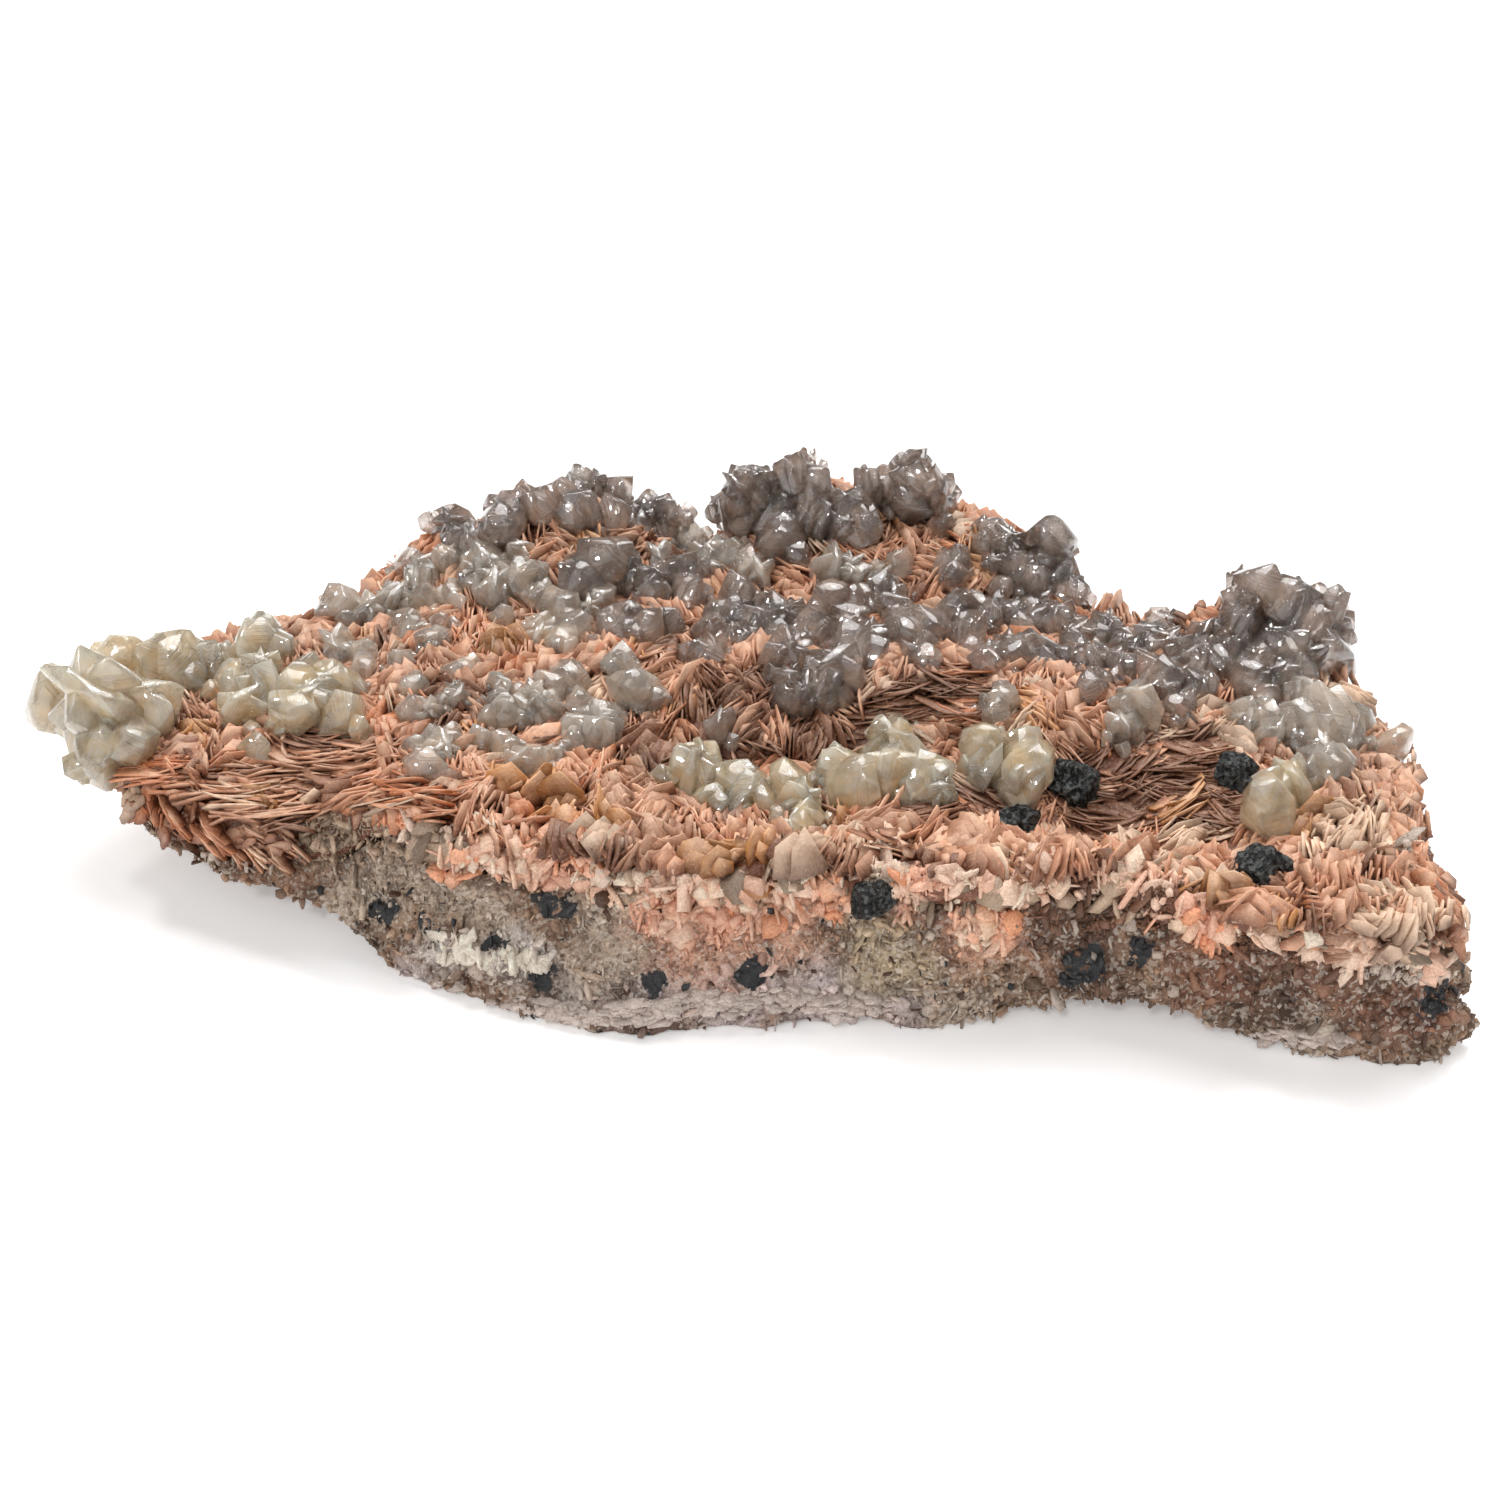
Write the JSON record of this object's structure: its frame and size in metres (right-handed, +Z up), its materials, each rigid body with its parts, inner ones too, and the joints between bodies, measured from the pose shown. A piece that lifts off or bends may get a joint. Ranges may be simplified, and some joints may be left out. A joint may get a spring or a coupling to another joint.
{
  "type": "crystal specimen on a rock plate",
  "caption": "Natural rock plate covered in pink bladed barite, with clusters of clear to smoky cerussite crystals and dark galena lumps; rests flat on a shelf.",
  "frame": {"origin": "middle of the slab's flat resting patch, on the surface it stands on", "axes": "+X along the plate's length towards the thick end, +Y to the back, +Z up away from the table"},
  "size_m": [0.2691, 0.1515, 0.0551],
  "materials": {
    "host_rock": "broken, granular, brown and grey with white and pink patches and black spots",
    "barite": "bladed, pearly, pink to salmon and ochre with pale rims",
    "galena": "granular, dark metallic grey",
    "cerussite_honey": "clear to milky, pale honey, bright adamantine faces",
    "cerussite_pale": "clear, nearly colourless, bright adamantine faces",
    "cerussite_smoky": "clear, smoky grey, bright adamantine faces"
  },
  "bodies": {
    "root": {"rock_matrix": "host_rock", "barite_crust": "barite", "galena_nodule_1": "galena", "galena_nodule_2": "galena", "galena_nodule_3": "galena", "galena_nodule_4": "galena", "galena_nodule_5": "galena", "cerussite_honey_left_end": "cerussite_honey", "cerussite_smoky_right": "cerussite_smoky", "cerussite_smoky_back_left": "cerussite_smoky", "cerussite_smoky_band": "cerussite_smoky", "cerussite_smoky_band_2": "cerussite_smoky", "cerussite_smoky_back": "cerussite_smoky", "cerussite_honey_left_end_2": "cerussite_honey", "cerussite_honey_left": "cerussite_honey", "cerussite_smoky_band_3": "cerussite_smoky", "cerussite_honey_front_row": "cerussite_honey", "cerussite_smoky_back_right": "cerussite_smoky", "cerussite_smoky_band_4": "cerussite_smoky", "cerussite_honey_front_right": "cerussite_honey", "cerussite_pale_right": "cerussite_pale", "cerussite_honey_left_2": "cerussite_honey", "cerussite_honey_front_pair": "cerussite_honey", "cerussite_smoky_back_2": "cerussite_smoky", "cerussite_smoky_back_3": "cerussite_smoky", "cerussite_honey_front_row_2": "cerussite_honey", "cerussite_smoky_back_4": "cerussite_smoky", "cerussite_pale_upper_left": "cerussite_pale", "cerussite_honey_left_end_3": "cerussite_honey", "cerussite_smoky_band_5": "cerussite_smoky", "cerussite_pale_centre": "cerussite_pale", "cerussite_smoky_band_6": "cerussite_smoky", "cerussite_smoky_band_7": "cerussite_smoky", "cerussite_honey_front_row_3": "cerussite_honey", "cerussite_pale_right_2": "cerussite_pale", "cerussite_pale_right_3": "cerussite_pale", "cerussite_smoky_band_8": "cerussite_smoky", "cerussite_smoky_back_left_2": "cerussite_smoky", "cerussite_pale_middle": "cerussite_pale", "cerussite_smoky_right_2": "cerussite_smoky", "cerussite_smoky_back_left_3": "cerussite_smoky", "cerussite_honey_front_row_4": "cerussite_honey", "cerussite_smoky_right_3": "cerussite_smoky", "cerussite_smoky_band_9": "cerussite_smoky", "cerussite_pale_centre_2": "cerussite_pale", "cerussite_smoky_band_10": "cerussite_smoky", "cerussite_pale_centre_3": "cerussite_pale", "cerussite_smoky_band_11": "cerussite_smoky", "cerussite_smoky_band_12": "cerussite_smoky", "cerussite_smoky_band_13": "cerussite_smoky", "cerussite_smoky_back_left_4": "cerussite_smoky", "cerussite_pale_middle_2": "cerussite_pale", "cerussite_smoky_band_14": "cerussite_smoky"}
  },
  "joints": []
}
